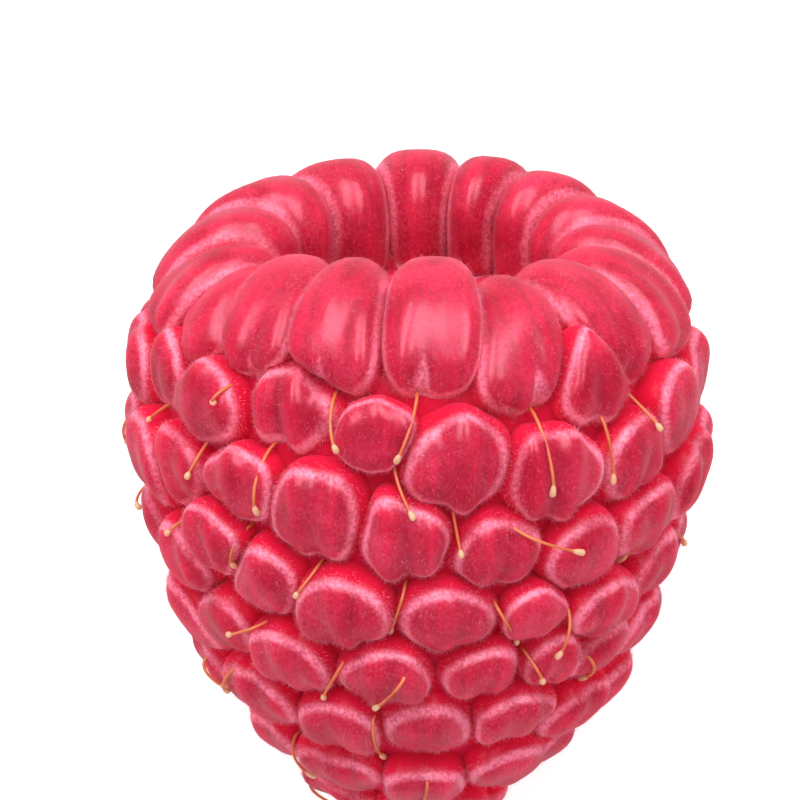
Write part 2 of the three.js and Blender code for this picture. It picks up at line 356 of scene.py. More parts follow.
def reach_of(drupelet, directions, number):
    """How far it reaches in some directions, and how much of that the neighbours decide."""
    reach, pressure, down, free = cushion(drupelet, directions)
    aside = directions @ axes_of(drupelet)[0] - FURROW_ASIDE * draw(number + ASIDE_SEED)
    furrow = np.exp(-((aside / FURROW_WIDTH) ** 2)) * np.clip(FURROW_UP + down, 0, 1)
    furrow *= np.clip(free * FURROW_ROUND, 0, 1)
    depth = FURROW * (1 + FURROW_SPREAD * draw(number + DEPTH_SEED))
    depth *= RIM_FURROW if drupelet.get("round_rim") else 1
    rate = RIDGE_RATE + RATE_SPREAD * draw(number + RATE_SEED)
    ridges = RIDGE * (1 + RIDGE_SPREAD * draw(number + RIDGE_SEED))
    ridges *= np.cos(aside * rate + RIDGE_SHIFT * draw(number + SHIFT_SEED))
    reach *= 1 - depth * furrow + ridges * np.clip(free, 0, 1)
    return reach, np.maximum(pressure, IN_FURROW * depth / FURROW * furrow)


# %% Press the drupelets against each other
def pressed(drupelet, number):
    """A copy of the ball, pressed into the form of one drupelet."""
    across, _, out = axes_of(drupelet)
    directions = ball @ np.array([across, np.cross(out, across), out])
    mesh = pattern.data.copy()
    points = drupelet["centre"] + directions * reach_of(drupelet, directions, number)[0][:, None]
    mesh.vertices.foreach_set("co", points.ravel())
    return bpy.data.objects.new(f"drupelet_{number}", mesh)


cluster = bpy.data.collections.new("cluster")
bpy.context.scene.collection.children.link(cluster)
for number, drupelet in enumerate(drupelets):
    cluster.objects.link(pressed(drupelet, number))
bpy.data.objects.remove(pattern)

# %% [markdown]
# The flesh under the drupelets is a thick cup, spun from a profile as on a potter's wheel. It lies
# deep enough to show only at the bottom of the creases and in the hollow.

# %% Spin the flesh
CREASE = 1.35  # how far the flesh lies under the outline
FLESH_RIM = 22.4  # height of the middle of its own rim
FLESH_LOW = 2.6  # height where its side begins
FLESH_STEPS = 28
RIM_STEP = 15  # degrees
FLESH_AROUND = 72
MERGED = 0.0005  # points nearer than this become one


def spun(name, profile, around):
    """A closed solid turned round the axis, from points of radius and height."""
    deselect()
    mesh = bpy.data.meshes.new(name)
    points = [(radius, 0, height) for radius, height in profile]
    mesh.from_pydata(points, [(i, i + 1) for i in range(len(points) - 1)], [])
    piece = bpy.data.objects.new(name, mesh)
    bpy.context.scene.collection.objects.link(piece)
    bpy.context.view_layer.objects.active = piece
    piece.select_set(True)
    edit_all()
    bpy.ops.mesh.spin(steps=around, angle=2 * math.pi, center=(0, 0, 0), axis=(0, 0, 1))
    bpy.ops.mesh.select_all(action="SELECT")
    bpy.ops.mesh.remove_doubles(threshold=MERGED)
    bpy.ops.mesh.normals_make_consistent(inside=False)
    bpy.ops.object.mode_set(mode="OBJECT")
    return piece


outside = [(girth(height) - CREASE, height) for height in np.linspace(FLESH_LOW, FLESH_RIM, FLESH_STEPS)]
over_rim = []
half = RIM_HALF - CREASE
for degrees in range(0, 181, RIM_STEP):
    turn = math.radians(degrees)
    over_rim.append((RIM_RADIUS + half * math.cos(turn), FLESH_RIM + half * math.sin(turn)))
flesh = spun("flesh", [(0, CREASE), *outside, *over_rim[1:], (0, FLESH_RIM)], FLESH_AROUND)
print("flesh", len(flesh.data.polygons), "faces")

# %% [markdown]
# The receptacle stays on the plant when the fruit is picked and leaves a hollow, where the inner ends
# of the drupelets show as rows of small bumps. It is a second spun form. Its points are drawn in
# towards the middle of each bump's place, so that the bump is left standing once it is cut out.

# %% Spin the hollow and dent it
INNER_SWELL = 0.55
INNER_AROUND = 9
INNER_PITCH = 3
INNER_STEPS = 12
FIRST_RING = 0.3  # of a step above the foot
step = INNER_PITCH / INNER_STEPS
heights = [HOLLOW_END + (i + FIRST_RING) * step for i in range(round((RIM - HOLLOW_END) / step) + 3)]
inside = [(bore(height) + INNER_SWELL, height) for height in heights]
hollow = spun("hollow", [(0, HOLLOW_END), *inside, (0, heights[-1])], INNER_AROUND * INNER_STEPS)
points = np.array([vertex.co for vertex in hollow.data.vertices])
radii = np.hypot(points[:, 0], points[:, 1])
row = (points[:, 2] - HOLLOW_END) / INNER_PITCH
turns = INNER_AROUND * np.arctan2(points[:, 1], points[:, 0]) / (2 * math.pi) + np.floor(row) / 2
dent = INNER_SWELL * np.sqrt(np.sin(math.pi * row) ** 2 * np.sin(math.pi * turns) ** 2)
shrink = np.where(radii > LEAST, 1 - dent / np.maximum(radii, LEAST), 1)
points[:, :2] *= shrink[:, None]
hollow.data.vertices.foreach_set("co", points.ravel())
print("hollow", len(hollow.data.polygons), "faces")

# %% [markdown]
# Now everything is grown together. A Boolean difference empties the cup, and one union on the whole
# collection joins the drupelets to it, so that light can later scatter through one closed body.
# Pockets that the union seals off are separated as loose parts and deleted.

# %% Grow the fruit together


def apply_boolean(piece, operation, other=None, others=None):
    cut = piece.modifiers.new("join", "BOOLEAN")
    cut.operation = operation
    cut.solver = "MANIFOLD"
    if others:
        cut.operand_type = "COLLECTION"
        cut.collection = others
    else:
        cut.object = other
    bpy.context.view_layer.objects.active = piece
    bpy.ops.object.modifier_apply(modifier=cut.name)


apply_boolean(flesh, "DIFFERENCE", other=hollow)
apply_boolean(flesh, "UNION", others=cluster)
print("joined", len(flesh.data.polygons), "faces")
for used in [hollow, *cluster.objects]:
    bpy.data.objects.remove(used)
bpy.data.collections.remove(cluster)
deselect()
flesh.select_set(True)
edit_all()
bpy.ops.mesh.separate(type="LOOSE")
bpy.ops.object.mode_set(mode="OBJECT")
shells = sorted(bpy.context.selected_objects, key=lambda shell: len(shell.data.polygons))
fruit = shells[-1]
for pocket in shells[:-1]:
    bpy.data.objects.remove(pocket)
fruit.name = "fruit"
print("fruit", len(fruit.data.polygons), "faces,", len(shells) - 1, "pockets removed")

# %% [markdown]
# The fruit lies on its side, nose down, and its own weight presses the lowest drupelets flat. The
# packed box says where it lies, so the upright points are turned, moved to the middle of that box,
# and held at or above the table.

# %% Lay the fruit down
NOSE_DOWN = 20
FLATTENED = 0.4


def points_of(piece):
    points = np.empty(3 * len(piece.data.vertices))
    piece.data.vertices.foreach_get("co", points)
    return points.reshape(-1, 3)


def set_points(piece, points):
    piece.data.vertices.foreach_set("co", np.ascontiguousarray(points, dtype=np.float32).ravel())
    piece.data.update()


turn = np.array(Matrix.Rotation(math.radians(NOSE_DOWN - 90), 3, "X"))
upright = points_of(fruit)
turned = upright @ turn.T
middle = (turned.max(0) + turned.min(0)) / 2
box_middle = np.array((fruit_low + fruit_high) / 2) / MM
shift = np.array([box_middle[0] - middle[0], box_middle[1] - middle[1], -FLATTENED - turned[:, 2].min()])


def laid(points):
    """Upright points in mm, laid down, in metres."""
    return (np.asarray(points) @ turn.T + shift) * MM


def laid_direction(direction):
    return np.asarray(direction) @ turn.T


upright_tree = BVHTree.FromPolygons(upright.tolist(), [face.vertices[:] for face in fruit.data.polygons])
lying = laid(upright)
lying[:, 2] = np.maximum(lying[:, 2], 0)
set_points(fruit, lying)
print("the fruit's box in mm:", np.round((lying.max(0) - lying.min(0)) / MM, 2))

# %% [markdown]
# A drupelet's colour is laid by how hard its neighbours press. The crown keeps the darker, mottled flesh
# colour. The flanks carry most of the pale bloom together with a painted sheen. Where it meets its
# neighbours, a painted glow of clean red stands for light scattered through the thin skin. So each
# vertex stores how hard the neighbours press there: 0 on a crown, rising over the flank, and 1 in a
# crease and in the hollow. A second number counts the drupelets and grows a little from one side of
# each to the other. Noise that follows it makes streaks along a drupelet that don't run on into the
# next one.

# %% Store what the colours will follow
ON_IT = 0.08  # a vertex this near to a drupelet's form belongs to it
STRIPE_STEP = 0.05
pressure_at = np.ones(len(upright))
stripe_at = np.zeros(len(upright))
off_at = np.full(len(upright), ON_IT)
for number, drupelet in enumerate(drupelets):
    apart = upright - drupelet["centre"]
    distance = np.linalg.norm(apart, axis=1)
    near = np.where((distance < NEAR) & (distance > LEAST))[0]
    directions = apart[near] / distance[near, None]
    reach, pressure = reach_of(drupelet, directions, number)
    off = np.abs(distance[near] - reach)
    closer = off < off_at[near]
    off_at[near[closer]] = off[closer]
    pressure_at[near[closer]] = pressure[closer]
    stripe_at[near[closer]] = STRIPE_STEP * (directions[closer] @ axes_of(drupelet)[0]) + number
for name, values in [("flank", pressure_at), ("stripe", stripe_at)]:
    stored = fruit.data.attributes.new(name, "FLOAT", "POINT")
    stored.data.foreach_set("value", values.astype(np.float32))
share = float((off_at < ON_IT).mean())
print("belongs to a drupelet:", round(share, 2), "mean pressure:", round(float(pressure_at.mean()), 2))

# %% [markdown]
# Each drupelet was a tiny pistil once, and its dry style hangs on: an orange thread with a pale knob
# that comes out of the notch at the drupelet's lower edge and lies over the next ones. One is modelled
# straight, by extruding a small circle, and copies are bent along their own paths.

# %% Model one style
THREAD = 0.075  # radius of the thread at its root
THREAD_TIP = 0.055  # and about its radius at the knob
STYLE_STEPS = 12
KNOB = 0.14
deselect()
bpy.ops.mesh.primitive_circle_add(vertices=6, radius=THREAD, fill_type="NGON", location=(0, 0, 0))
style_pattern = bpy.context.object
style_pattern.name = "style_pattern"
edit_all()
slimmer = 1 - (1 - THREAD_TIP / THREAD) / STYLE_STEPS
for step in range(STYLE_STEPS):
    bpy.ops.mesh.extrude_region_move(TRANSFORM_OT_translate={"value": (0, 0, 1 / STYLE_STEPS)})
    bpy.ops.transform.resize(value=(slimmer, slimmer, 1))
bpy.ops.mesh.select_all(action="SELECT")
bpy.ops.mesh.normals_make_consistent(inside=False)
bpy.ops.mesh.select_all(action="DESELECT")
bpy.ops.mesh.primitive_uv_sphere_add(segments=8, ring_count=6, radius=KNOB, location=(0, 0, 1))
bpy.ops.object.mode_set(mode="OBJECT")
straight = np.array([vertex.co for vertex in style_pattern.data.vertices])
knob = style_pattern.data.attributes.new("knob", "FLOAT", "POINT")
knob.data.foreach_set("value", (straight[:, 2] > 1 - KNOB).astype(np.float32))
print("one style has", len(style_pattern.data.polygons), "faces")

# %% [markdown]
# Not every drupelet keeps its style. Those on the side that is seen were placed one by one, and on
# the far side a seeded draw says which drupelets have one, and how it hangs.

# %% Places of the styles
# Keys are a row, 0 for the rim, and a drupelet in it. Values are how far the thread leans to the
# right, its length, and how far right of the notch it starts, in mm.
STYLES = {
    (0, 0): (-0.8, 2.6, -0.5), (0, 1): (0.3, 3.3, 0), (0, 2): (0.7, 1.9, 0), (0, 14): (-0.2, 0.6, -0.4),
    (0, 15): (0.5, 2.1, 0.3), (1, 0): (-0.8, 1.2, 0), (1, 1): (-0.5, 1.6, 0), (1, 2): (-0.3, 2.8, -0.7),
    (1, 3): (0.8, 2, 0.8), (1, 4): (0.3, 1.8, 0), (1, 5): (2.9, 3.2, -1.8), (1, 6): (0.3, 2.8, 0.1),
    (1, 7): (1.1, 3, -0.8), (2, 1): (-0.9, 1.5, 0), (2, 2): (-0.8, 2.1, 0), (2, 3): (-0.9, 1.7, 0),
    (2, 4): (-0.8, 2.6, 0), (2, 5): (1.5, 2.7, 0), (2, 6): (-0.3, 2.2, -0.5), (2, 8): (1.4, 2, 0),
    (3, 2): (-1.8, 2, -0.4), (3, 3): (-1.4, 2.5, 0), (3, 4): (-1.4, 2.3, -1.9), (3, 5): (0.7, 1.6, 0),
    (3, 6): (1, 1.8, 0), (4, 0): (-1.2, 1.9, 0), (4, 2): (-0.1, 2.6, -0.8), (5, 1): (-0.2, 1.6, 0),
}
print("styles placed one by one:", len(STYLES))

# %% [markdown]
# A dry thread lies on the drupelets below its own, and doesn't sink into them. So a ray is cast at the
# skin from outside for each step along the thread. A straight line joins its two ends, and an arch is
# added to it that is just high enough to clear whatever skin is between.

# %% The path of a style
LIFT = 0.16  # how far the thread lies off the skin
SUNK = 0.2  # its root is this far inside
NOTCH_BELOW = 1.75
RIM_NOTCH_BELOW = 1.25
LOWEST = 1  # no thread starts nearer to the tip
LEAST_FALL = 0.1  # of the length squared
CURL = 1.3  # it leans more and more towards its end
OFF_SOON = 3  # the lift is full after one part in this many of the way
ARCH_EARLY, ARCH_FULL = 0.8, 0.7
LEAST_ARCH, HIGHEST_ARCH = 0.1, 0.9
ALONG = np.linspace(0, 1, STYLE_STEPS + 1)


def surface_radius(azimuth, height):
    """Distance from the axis to the skin, seen from outside."""
    start = at(azimuth, 2 * RADIUS, height)
    hit = upright_tree.ray_cast(Vector(start), Vector(at(azimuth, -1, 0)))[0]
    return math.hypot(hit[0], hit[1]) if hit else 0


def style_path(drupelet, lean, length, aside):
    """Points of a thread from the notch, over what lies below it towards the tip."""
    to_notch = RIM_NOTCH_BELOW if drupelet.get("round_rim") else NOTCH_BELOW * math.sqrt(drupelet["size"])
    low = max(drupelet["height"] - to_notch, LOWEST)
    fall = math.sqrt(max(length**2 - lean**2, LEAST_FALL * length**2))
    heights = low - fall * ALONG
    radius = girth(low)
    aside_mm = aside + lean * ALONG**CURL
    azimuths = drupelet["azimuth"] + np.degrees(aside_mm / radius)
    skin_radii = np.array([surface_radius(azimuth, height) for azimuth, height in zip(azimuths, heights)])
    chord = skin_radii[0] - SUNK + (skin_radii[-1] + LIFT - skin_radii[0] + SUNK) * ALONG
    arch = np.sin(math.pi * ALONG**ARCH_EARLY) ** ARCH_FULL
    short = (skin_radii + LIFT * np.minimum(1, OFF_SOON * ALONG) - chord)[1:-1] / arch[1:-1]
    radii = chord + min(max(LEAST_ARCH, short.max()), HIGHEST_ARCH) * arch
    return np.array([at(*point) for point in zip(azimuths, radii, heights)])


sample = style_path(drupelets[0], *STYLES[(0, 0)])
print("a path of", len(sample), "points, from", np.round(sample[0], 1), "to", np.round(sample[-1], 1))

# %% Bend a style along its path
def bent(path, number):
    """A copy of the straight style along a path."""
    mesh = style_pattern.data.copy()
    spot = np.clip(straight[:, 2], 0, 1)
    middle = np.stack([np.interp(spot, ALONG, path[:, axis]) for axis in range(3)], axis=1)
    ways = np.gradient(path, axis=0)
    way = np.stack([np.interp(spot, ALONG, ways[:, axis]) for axis in range(3)], axis=1)
    way /= np.linalg.norm(way, axis=1)[:, None]
    side = np.cross(way, unit(path[0] * [1, 1, 0]))
    side /= np.linalg.norm(side, axis=1)[:, None]
    past = straight[:, 2] - spot
    points = middle + straight[:, :1] * side + straight[:, 1:2] * np.cross(side, way) + past[:, None] * way
    mesh.vertices.foreach_set("co", laid(points).astype(np.float32).ravel())
    made = bpy.data.objects.new(f"style_{number}", mesh)
    bpy.context.scene.collection.objects.link(made)
    return made


print("each style has", len(straight), "points to bend")

# %% Hang the styles on the fruit
SHARE_WITH_STYLE = 0.6  # of the drupelets that aren't listed
LEAN_SPREAD = 1.2
USUAL_LENGTH, LENGTH_SPREAD = 2.1, 0.7
KEEPS_SEED, LEAN_SEED, LENGTH_SEED = 800, 900, 1000
SPARE = 0.2 * MM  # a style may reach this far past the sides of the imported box
rows = [RIM_PLACES] + [places_of(row_index, row) for row_index, row in enumerate(ROWS)]
keys = [(row, place) for row, places in enumerate(rows) for place in range(len(places))]
style_pieces = []
for number, (key, drupelet) in enumerate(zip(keys, drupelets)):
    shown = key[0] == 0 or key[1] < len(ROWS[key[0] - 1][2])
    if key in STYLES:
        lean, length, aside = STYLES[key]
    elif not shown and (draw(number + KEEPS_SEED) + 1) / 2 < SHARE_WITH_STYLE:
        lean, aside = LEAN_SPREAD * draw(number + LEAN_SEED), 0
        length = USUAL_LENGTH + LENGTH_SPREAD * draw(number + LENGTH_SEED)
    else:
        continue
    path = style_path(drupelet, lean, length, aside)
    ends = laid(path)
    inside_sides = np.all(ends > np.array(fruit_low) - SPARE)
    inside_sides &= np.all(ends < np.array(fruit_high) + SPARE)
    if inside_sides and ends[:, 2].min() > KNOB * MM:
        style_pieces.append(bent(path, number))
bpy.data.objects.remove(style_pattern)
print("styles:", len(style_pieces))

# %% Join the styles
deselect()
for piece in style_pieces:
    piece.select_set(True)
bpy.context.view_layer.objects.active = style_pieces[0]
bpy.ops.object.join()
styles = bpy.context.object
styles.name = "styles"
bpy.ops.object.shade_smooth()
lowest = min(vertex.co.z for vertex in styles.data.vertices)
print("styles have", len(styles.data.polygons), "faces, lowest point at", round(lowest / MM, 2), "mm")

# %% [markdown]
# The velvet is real hair, about a fifth of a millimetre long and far finer than the eye can part. It
# softens the edge of each drupelet. One three-sided hair is modelled, and copies stand on the skin,
# more or less upright, at points that are drawn at random, most of them on the flanks. Hair curves
# would be lost on export, so it is mesh.

# %% Model one hair
HAIR = 0.22
HAIR_THICK = 0.006
HAIR_ROOT = 0.03
deselect()
middle_height = HAIR / 2 - HAIR_ROOT
bpy.ops.mesh.primitive_cone_add(vertices=3, radius1=HAIR_THICK, radius2=0, depth=HAIR,
                                end_fill_type="NOTHING", location=(0, 0, middle_height))
hair_pattern = bpy.context.object
edit_all()
bpy.ops.mesh.normals_make_consistent(inside=False)
bpy.ops.object.mode_set(mode="OBJECT")
hair_points = np.array([hair_pattern.matrix_world @ vertex.co for vertex in hair_pattern.data.vertices])
hair_faces = np.array([corner for face in hair_pattern.data.polygons for corner in face.vertices])
print("one hair has", len(hair_pattern.data.polygons), "faces")
bpy.data.objects.remove(hair_pattern)

# %% Where the velvet grows
HAIR_SEED = 7
SLIVER = 1e-12  # keeps a face without area from dividing by nothing
THICKEST = 0.55  # how hard the neighbours press where the velvet is thickest
VELVET = {0: 0.12, THICKEST - 0.2: 0.4, THICKEST: 1, 0.75: 0.9, 0.88: 0}  # how thick it is, by pressure
fruit.data.calc_loop_triangles()
corners = np.array([triangle.vertices[:] for triangle in fruit.data.loop_triangles])
first, second, third = (upright[corners[:, i]] for i in range(3))
normals = np.cross(second - first, third - first)
areas = np.linalg.norm(normals, axis=1) / 2
normals /= np.maximum(2 * areas, SLIVER)[:, None]
pressed_here = pressure_at[corners].mean(axis=1)
velvet = np.interp(pressed_here, list(VELVET), list(VELVET.values()))
velvet[lying[corners[:, 0], 2] < HAIR * MM] = 0
chance = np.random.default_rng(HAIR_SEED)
weights = areas * velvet / (areas * velvet).sum()
print("velvet grows on", round(float(areas[velvet > 0].sum() / areas.sum()), 2), "of the skin")

# %% Stand the hairs on the skin
HAIRS = 60000  # in each piece
PIECES = 2
LOOSE = 0.4
DROOP = 0.3  # hairs lean this much towards the tip
SHORTEST, LONGEST = 0.6, 1.3


def fuzz_piece(name):
    picked = chance.choice(len(areas), HAIRS, p=weights)
    along, across = chance.random((2, HAIRS, 1))
    folded = along + across > 1
    along[folded], across[folded] = 1 - along[folded], 1 - across[folded]
    roots = first[picked] + along * (second - first)[picked] + across * (third - first)[picked]
    growth = normals[picked] + LOOSE * chance.normal(size=(HAIRS, 3))
    growth -= [0, 0, DROOP]
    growth /= np.linalg.norm(growth, axis=1)[:, None]
    side = np.cross(growth, chance.normal(size=(HAIRS, 3)))
    side /= np.linalg.norm(side, axis=1)[:, None]
    other = np.cross(growth, side)
    long = chance.uniform(SHORTEST, LONGEST, (HAIRS, 1, 1))
    frames = np.stack([side, other, growth], axis=1)
    points = roots[:, None] + (hair_points @ frames) * long
    mesh = bpy.data.meshes.new(name)
    mesh.vertices.add(points.shape[0] * points.shape[1])
    mesh.vertices.foreach_set("co", laid(points.reshape(-1, 3)).astype(np.float32).ravel())
    faces = hair_faces.reshape(-1, 3) + (np.arange(HAIRS) * len(hair_points))[:, None, None]
    mesh.loops.add(faces.size)
    mesh.loops.foreach_set("vertex_index", faces.ravel())
    mesh.polygons.add(faces.size // 3)
    mesh.polygons.foreach_set("loop_start", np.arange(0, faces.size, 3))
    mesh.update(calc_edges=True)
    piece = bpy.data.objects.new(name, mesh)
    bpy.context.scene.collection.objects.link(piece)
    return piece


fuzz = [fuzz_piece(f"fuzz_{i}") for i in range(PIECES)]
print("hairs:", HAIRS * PIECES)

# %% [markdown]
# A drupelet's skin is taut and round, and only the creases between drupelets are sharp. Smooth
# shading alone would blur them, so edges that bend more than a set angle stay crisp.

# %% Shade the fruit
CRISP = 50  # degrees
deselect()
bpy.context.view_layer.objects.active = fruit
fruit.select_set(True)
bpy.ops.object.shade_smooth_by_angle(angle=math.radians(CRISP))
print("edges that bend more than", CRISP, "degrees stay crisp")

# %% [markdown]
# The camera looks down on the side of the fruit and leans a little towards its open end, so that the
# hollow just shows. Its lens follows from its distance and from how many millimetres the picture is
# wide. It is moved square to its view until the middle of the rim is at its place in the picture.

# %% Camera
TOWARDS_MOUTH = 17  # the view leans this far from square-on towards the open end
DISTANCE = 240 * MM
ACROSS_PICTURE = 32.88 * MM
PICTURE = 800
RIM_IN_PICTURE = (419, 281)
SENSOR = 36

axis = laid_direction([0, 0, 1.0])
shown_side = laid_direction([0, -1.0, 0])
lean = math.radians(TOWARDS_MOUTH)
to_camera = Vector(math.cos(lean) * shown_side + math.sin(lean) * axis)
right = Vector((1, 0, 0))
up = to_camera.cross(right)
rim_middle = Vector(laid([0, 0, RIM]))
per_pixel = ACROSS_PICTURE / PICTURE
aim = rim_middle - right * (RIM_IN_PICTURE[0] - PICTURE / 2) * per_pixel
aim -= up * (PICTURE / 2 - RIM_IN_PICTURE[1]) * per_pixel
camera_data = bpy.data.cameras.new("camera")
camera_data.sensor_width = SENSOR
camera_data.lens = SENSOR * DISTANCE / ACROSS_PICTURE
camera_data.clip_start = 10 * MM
camera = bpy.data.objects.new("camera", camera_data)
camera.matrix_world = Matrix((
    (right.x, up.x, to_camera.x, 0),
    (right.y, up.y, to_camera.y, 0),
    (right.z, up.z, to_camera.z, 0),
    (0, 0, 0, 1),
))
camera.location = aim + to_camera * DISTANCE
bpy.context.scene.collection.objects.link(camera)
bpy.context.scene.camera = camera
print("camera", [round(value, 3) for value in camera.location], "lens", round(camera_data.lens, 1))

# %% [markdown]
# Fruit is photographed on a plain pale table. This one is a matt plane that glows a little, so that
# it stays as white as paper in the picture. In the gloss of the fruit a white table would look like
# grey dust, so a reflected ray finds it darker and without the glow.

# %% Table
TABLE_SIZE = 2
TABLE_BELOW = 0.02 * MM
deselect()
bpy.ops.mesh.primitive_plane_add(size=TABLE_SIZE, location=(0, 0, -TABLE_BELOW))
table = bpy.context.object
table.name = "table"
table_finish = bpy.data.materials.new("table")
table_finish.use_nodes = True
table_nodes = table_finish.node_tree.nodes
table_top = table_nodes["Principled BSDF"]
table_top.inputs["Roughness"].default_value = 0.9
table_top.inputs["Emission Color"].default_value = (1, 1, 1, 1)
table_rays = table_nodes.new("ShaderNodeLightPath")
for socket, seen, reflected in [("Base Color", 0.9, 0.25), ("Emission Strength", 0.5, 0)]:
    shade = table_nodes.new("ShaderNodeMapRange")
    shade.inputs["To Min"].default_value = seen
    shade.inputs["To Max"].default_value = reflected
    table_finish.node_tree.links.new(table_rays.outputs["Is Glossy Ray"], shade.inputs["Value"])
    table_finish.node_tree.links.new(shade.outputs["Result"], table_top.inputs[socket])
table.data.materials.append(table_finish)
print("the table is", TABLE_SIZE, "m wide")

# %% [markdown]
# Soft light comes from softboxes. One large one overhead shades the fruit and isn't seen in its
# gloss. Two tall, narrow ones do the opposite: they leave the shading alone and are reflected, as
# the highlights on each drupelet.

# %% Soft lamps
LAMP_DISTANCE = 0.4
fruit_middle = (fruit_low + fruit_high) / 2


def soft_light(name, direction, width, height, power):
    """A softbox that faces the fruit from a direction, with its long side along the fruit."""
    data = bpy.data.lights.new(name, "AREA")
    data.shape = "ELLIPSE"
    data.size = width
    data.size_y = height
    data.energy = power
    lamp = bpy.data.objects.new(name, data)
    away = Vector(direction).normalized()
    along = Vector((0, 1, 0)).cross(away).cross(away).normalized()
    across = along.cross(away)
    lamp.matrix_world = Matrix((
        (across.x, along.x, away.x, 0),
        (across.y, along.y, away.y, 0),
        (across.z, along.z, away.z, 0),
        (0, 0, 0, 1),
    ))
    lamp.location = fruit_middle + away * LAMP_DISTANCE
    lamp.visible_camera = False
    bpy.context.scene.collection.objects.link(lamp)
    return lamp


soft_light("overhead", (-0.08, 0.6, 0.8), 0.4, 0.3, 1.5).visible_glossy = False
soft_light("highlight_left", (-0.34, 0.42, 0.84), 0.17, 0.56, 2.2).visible_diffuse = False
soft_light("highlight_right", (0.26, 0.42, 0.87), 0.16, 0.52, 1.9).visible_diffuse = False
print("lamps stand", LAMP_DISTANCE, "m from the fruit")

# %% [markdown]
# The room around fills the shadows with white light. As a reflection, though, it is dark on one side
# and brighter on the other, which is what gives a glossy drupelet its form.

# %% Surroundings
BRIGHT_SIDE = (0, 0.89, -0.45)
BRIGHT_REFLECTION = 0.35
DARK_REFLECTION = 0.02
FILL = 0.8
world = bpy.data.worlds.new("surroundings")
world.use_nodes = True
world_nodes = world.node_tree.nodes
world_links = world.node_tree.links
sky = world_nodes["Background"]
direction = world_nodes.new("ShaderNodeTexCoord")
brighter_side = world_nodes.new("ShaderNodeVectorMath")
brighter_side.operation = "DOT_PRODUCT"
brighter_side.inputs[1].default_value = BRIGHT_SIDE
world_links.new(direction.outputs["Generated"], brighter_side.inputs[0])
REFLECTION_FROM, REFLECTION_TO = -0.3, 0.8  # -1 is away from the bright side, and 1 is towards it
reflected = world_nodes.new("ShaderNodeMapRange")
reflected.interpolation_type = "SMOOTHSTEP"
reflected.inputs["From Min"].default_value = REFLECTION_FROM
reflected.inputs["From Max"].default_value = REFLECTION_TO
reflected.inputs["To Min"].default_value = DARK_REFLECTION
reflected.inputs["To Max"].default_value = BRIGHT_REFLECTION
world_links.new(brighter_side.outputs["Value"], reflected.inputs["Value"])
rays = world_nodes.new("ShaderNodeLightPath")
to_surfaces = world_nodes.new("ShaderNodeMix")
to_surfaces.inputs["A"].default_value = FILL
world_links.new(rays.outputs["Is Glossy Ray"], to_surfaces.inputs["Factor"])
world_links.new(reflected.outputs["Result"], to_surfaces.inputs["B"])
brightness = world_nodes.new("ShaderNodeMix")
brightness.inputs["B"].default_value = 1
world_links.new(rays.outputs["Is Camera Ray"], brightness.inputs["Factor"])
world_links.new(to_surfaces.outputs["Result"], brightness.inputs["A"])
world_links.new(brightness.outputs["Result"], sky.inputs["Strength"])
sky.inputs["Color"].default_value = (1, 1, 1, 1)
bpy.context.scene.world = world
bpy.context.scene.view_settings.view_transform = "Standard"
print("shadows are filled with a strength of", FILL)

# %% [markdown]
# Real skin varies from place to place, and nodes do that without a picture. Patterns are noise on
# Object coordinates, as the fruit has no seams to unwrap it along, or follow the numbers stored on
# the mesh. A few helpers keep the cells short. Each adds a node to the material at hand.

# %% Helpers for materials
def node(kind, **values):
    """A new node, with some of its sockets set."""
    made = nodes.new(kind)
    for name, value in values.items():
        made.inputs[name.replace("_", " ")].default_value = value
    return made


def noise(**values):
    made = node("ShaderNodeTexNoise", **values)
    links.new(place.outputs["Object"], made.inputs["Vector"])
    return made


def attribute(name):
    """A number that is stored on the mesh."""
    made = nodes.new("ShaderNodeAttribute")
    made.attribute_name = name
    return made.outputs["Fac"]


def ranged(value, low, high, to_low=0, to_high=1):
    """A value spread from one range to another."""
    made = node("ShaderNodeMapRange", From_Min=low, From_Max=high, To_Min=to_low, To_Max=to_high)
    links.new(value, made.inputs["Value"])
    return made.outputs["Result"]


def times(first, second):
    made = nodes.new("ShaderNodeMath")
    made.operation = "MULTIPLY"
    links.new(first, made.inputs[0])
    links.new(second, made.inputs[1])
    return made.outputs["Value"]


def ramp(value, *stops):
    """Colours along a value, from stops of a position and a colour."""
    made = nodes.new("ShaderNodeValToRGB")
    elements = made.color_ramp.elements
    for element, (position, colour) in zip(elements, [stops[0], stops[-1]]):
        element.position = position
        element.color = (*colour, 1)
    for position, colour in stops[1:-1]:
        elements.new(position).color = (*colour, 1)
    links.new(value, made.inputs["Fac"])
    return made


def laid_over(under, colour, mask):
    """A colour over what is under it, as much as a mask says."""
    made = nodes.new("ShaderNodeMix")
    made.data_type = "RGBA"
    made.inputs["B"].default_value = (*colour, 1)
    links.new(mask, made.inputs["Factor"])
    links.new(under, made.inputs["A"])
    return made.outputs["Result"]


# %% [markdown]
# The skin is thin, glossy and full of red juice. Light sinks in, scatters and comes out again redder,
# which is what subsurface scattering is for: red travels furthest, green hardly at all. A thin coat
# sharpens the highlights a little, and a trace of sheen stands for the haze of the finest hairs.

